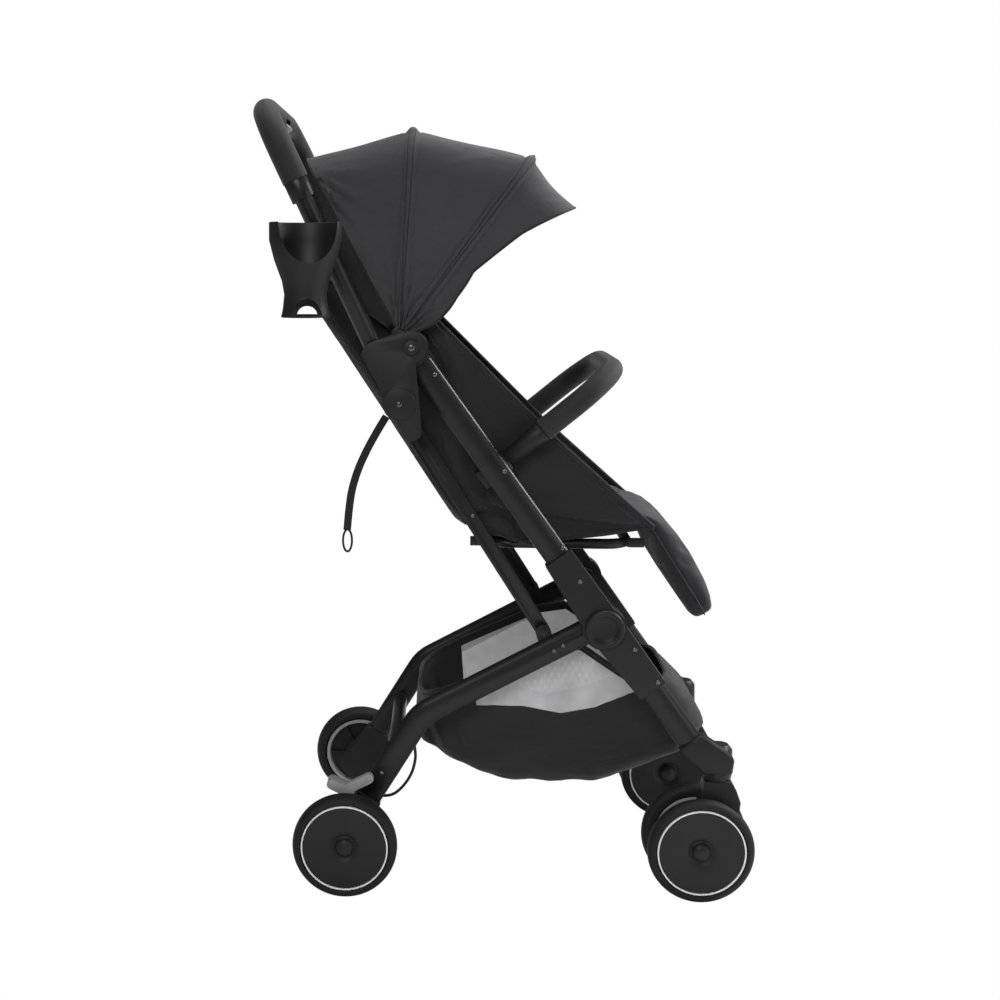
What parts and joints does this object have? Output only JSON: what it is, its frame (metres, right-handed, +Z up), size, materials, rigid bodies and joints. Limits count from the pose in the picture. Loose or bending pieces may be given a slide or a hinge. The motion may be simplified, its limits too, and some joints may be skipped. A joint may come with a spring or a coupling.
{
  "type": "travel stroller",
  "caption": "Folding travel stroller with a bent handle, hinged hood, padded reclining seat, bumper bar, cup holder, shopping basket, swivelling twin casters and braked rear wheels.",
  "frame": {"origin": "on the floor, under the middle of the whole stroller's box", "axes": "+X forward in the direction of travel, +Y to the stroller's left, +Z up"},
  "size_m": [0.6566, 0.5157, 1.0352],
  "materials": {
    "frame_tube": "matte black powder coat",
    "dark_plastic": "fine-grained matte",
    "foam": "closed-cell foam, matte",
    "fabric": "charcoal twill",
    "wheel": "matte tread with a pale ring",
    "grey_plastic": "fine-grained matte",
    "steel": "zinc plated",
    "webbing": "woven strap",
    "cable_jacket": "smooth"
  },
  "bodies": {
    "front_frame": {"front_tube_right": "frame_tube", "hub_sleeve_right": "dark_plastic", "hub_cap_right": "dark_plastic", "top_fitting_right": "dark_plastic", "caster_socket_right": "dark_plastic", "bumper_socket_right": "dark_plastic", "seat_side_right": "fabric", "front_tube_left": "frame_tube", "hub_sleeve_left": "dark_plastic", "hub_cap_left": "dark_plastic", "top_fitting_left": "dark_plastic", "caster_socket_left": "dark_plastic", "bumper_socket_left": "dark_plastic", "seat_side_left": "fabric", "front_cross_tube": "frame_tube", "seat_frame_rail": "frame_tube", "seat_cross_tube": "frame_tube", "canopy_fabric": "fabric", "seat_pad": "fabric", "crotch_strap": "webbing", "harness_buckle": "dark_plastic", "basket": "fabric"},
    "bumper_button_right": {"bumper_button_right": "grey_plastic"},
    "handle": {"hinge_housing_right": "dark_plastic", "hinge_housing_left": "dark_plastic", "handle_tube": "frame_tube", "handle_grip": "foam", "cup_holder": "dark_plastic"},
    "rear_legs": {"rear_leg_right": "frame_tube", "rear_foot_right": "dark_plastic", "rear_leg_left": "frame_tube", "rear_foot_left": "dark_plastic", "rear_cross_tube": "frame_tube", "brake_cable": "cable_jacket"},
    "strut_right": {"strut_right": "frame_tube"},
    "brake_pin_right": {"brake_pin_right": "steel"},
    "rear_wheel_right": {"rear_wheel_right": "wheel"},
    "caster_right": {"caster_fork_right": "dark_plastic"},
    "front_wheel_right_outer": {"front_wheel_right_outer": "wheel"},
    "front_wheel_right_inner": {"front_wheel_right_inner": "wheel"},
    "bumper_button_left": {"bumper_button_left": "grey_plastic"},
    "strut_left": {"strut_left": "frame_tube"},
    "brake_pin_left": {"brake_pin_left": "steel"},
    "rear_wheel_left": {"rear_wheel_left": "wheel"},
    "caster_left": {"caster_fork_left": "dark_plastic"},
    "front_wheel_left_outer": {"front_wheel_left_outer": "wheel"},
    "front_wheel_left_inner": {"front_wheel_left_inner": "wheel"},
    "fold_button": {"fold_button": "grey_plastic"},
    "brake_pedal": {"brake_pedal": "grey_plastic"},
    "canopy_rear_bow": {"canopy_rear_bow": "steel"},
    "canopy_front_bow": {"canopy_front_bow": "steel"},
    "seat_back": {"seat_back": "fabric", "shoulder_straps": "webbing", "recline_strap": "webbing"},
    "leg_rest": {"leg_rest": "fabric"},
    "buckle_button": {"buckle_button": "grey_plastic"},
    "bumper_bar": {"bumper_bar": "frame_tube", "bumper_foam": "foam"}
  },
  "joints": [
    {"name": "fold", "type": "hinge", "parent": "front_frame", "child": "handle", "pos_m": [-0.122, 0.0322, 0.7203], "axis": [0, 1, 0], "range_deg": [0, 150]},
    {"name": "rear_leg_fold", "type": "hinge", "parent": "front_frame", "child": "rear_legs", "pos_m": [0.1295, 0.0322, 0.359], "axis": [0, -1, 0], "range_deg": [0, 58], "deforming": ["basket"]},
    {"name": "strut_swing_right", "type": "hinge", "parent": "rear_legs", "child": "strut_right", "pos_m": [0.0532, -0.1058, 0.3455], "axis": [0, 1, 0], "range_deg": [0, 58]},
    {"name": "strut_swing_left", "type": "hinge", "parent": "rear_legs", "child": "strut_left", "pos_m": [0.0532, 0.1702, 0.3455], "axis": [0, 1, 0], "range_deg": [0, 58]},
    {"name": "fold_button_press", "type": "slide", "parent": "handle", "child": "fold_button", "axis": [-0.6561, 0, 0.7547], "range_m": [0, 0.0035], "stiffness_N_per_m": 400},
    {"name": "brake_press", "type": "hinge", "parent": "rear_legs", "child": "brake_pedal", "pos_m": [-0.1745, 0.0322, 0.15], "axis": [0, -1, 0], "range_deg": [0, 20]},
    {"name": "brake_pin_slide_right", "type": "slide", "parent": "rear_legs", "child": "brake_pin_right", "axis": [0, -1, 0], "range_m": [0, 0.012]},
    {"name": "rear_wheel_spin_right", "type": "hinge", "parent": "rear_legs", "child": "rear_wheel_right", "pos_m": [-0.2045, -0.1778, 0.069], "axis": [0, 1, 0], "continuous": true},
    {"name": "caster_swivel_right", "type": "hinge", "parent": "front_frame", "child": "caster_right", "pos_m": [0.2825, -0.1328, 0.15], "axis": [0, 0, 1], "continuous": true},
    {"name": "front_wheel_spin_right_outer", "type": "hinge", "parent": "caster_right", "child": "front_wheel_right_outer", "pos_m": [0.2592, -0.1673, 0.069], "axis": [0, 1, 0], "continuous": true},
    {"name": "front_wheel_spin_right_inner", "type": "hinge", "parent": "caster_right", "child": "front_wheel_right_inner", "pos_m": [0.2592, -0.0983, 0.069], "axis": [0, 1, 0], "continuous": true},
    {"name": "bumper_button_press_right", "type": "slide", "parent": "front_frame", "child": "bumper_button_right", "axis": [0, -1, 0], "range_m": [0, 0.0012], "stiffness_N_per_m": 300},
    {"name": "brake_pin_slide_left", "type": "slide", "parent": "rear_legs", "child": "brake_pin_left", "axis": [0, 1, 0], "range_m": [0, 0.012]},
    {"name": "rear_wheel_spin_left", "type": "hinge", "parent": "rear_legs", "child": "rear_wheel_left", "pos_m": [-0.2045, 0.2422, 0.069], "axis": [0, 1, 0], "continuous": true},
    {"name": "caster_swivel_left", "type": "hinge", "parent": "front_frame", "child": "caster_left", "pos_m": [0.2825, 0.1972, 0.15], "axis": [0, 0, 1], "continuous": true},
    {"name": "front_wheel_spin_left_outer", "type": "hinge", "parent": "caster_left", "child": "front_wheel_left_outer", "pos_m": [0.2592, 0.2317, 0.069], "axis": [0, 1, 0], "continuous": true},
    {"name": "front_wheel_spin_left_inner", "type": "hinge", "parent": "caster_left", "child": "front_wheel_left_inner", "pos_m": [0.2592, 0.1627, 0.069], "axis": [0, 1, 0], "continuous": true},
    {"name": "bumper_button_press_left", "type": "slide", "parent": "front_frame", "child": "bumper_button_left", "axis": [0, 1, 0], "range_m": [0, 0.0012], "stiffness_N_per_m": 300},
    {"name": "canopy_open", "type": "hinge", "parent": "front_frame", "child": "canopy_front_bow", "pos_m": [-0.1375, 0.0322, 0.7343], "axis": [0, 1, 0], "range_deg": [-50, 24], "deforming": ["canopy_fabric"]},
    {"name": "canopy_follow", "type": "hinge", "parent": "front_frame", "child": "canopy_rear_bow", "pos_m": [-0.1375, 0.0322, 0.7343], "axis": [0, 1, 0], "range_deg": [-22, 10.56]},
    {"name": "seat_recline", "type": "hinge", "parent": "front_frame", "child": "seat_back", "pos_m": [-0.0365, 0.0322, 0.46], "axis": [0, -1, 0], "range_deg": [0, 26]},
    {"name": "leg_rest_tilt", "type": "hinge", "parent": "front_frame", "child": "leg_rest", "pos_m": [0.185, 0.0322, 0.4585], "axis": [0, -1, 0], "range_deg": [0, 50]},
    {"name": "bumper_bar_slide", "type": "slide", "parent": "front_frame", "child": "bumper_bar", "axis": [0.7716, 0, 0.6361], "range_m": [0, 0.06]},
    {"name": "buckle_button_press", "type": "slide", "parent": "front_frame", "child": "buckle_button", "axis": [-1, 0, 0], "range_m": [0, 0.0018], "stiffness_N_per_m": 300}
  ],
  "couplings": [
    {"joint": "rear_leg_fold", "follows": "fold", "ratio": 0.38667},
    {"joint": "strut_swing_right", "follows": "fold", "ratio": 0.38667},
    {"joint": "strut_swing_left", "follows": "fold", "ratio": 0.38667},
    {"joint": "brake_pin_slide_right", "follows": "brake_press", "m_per_rad": 0.034377},
    {"joint": "brake_pin_slide_left", "follows": "brake_press", "m_per_rad": 0.034377},
    {"joint": "canopy_follow", "follows": "canopy_open", "ratio": 0.44}
  ]
}
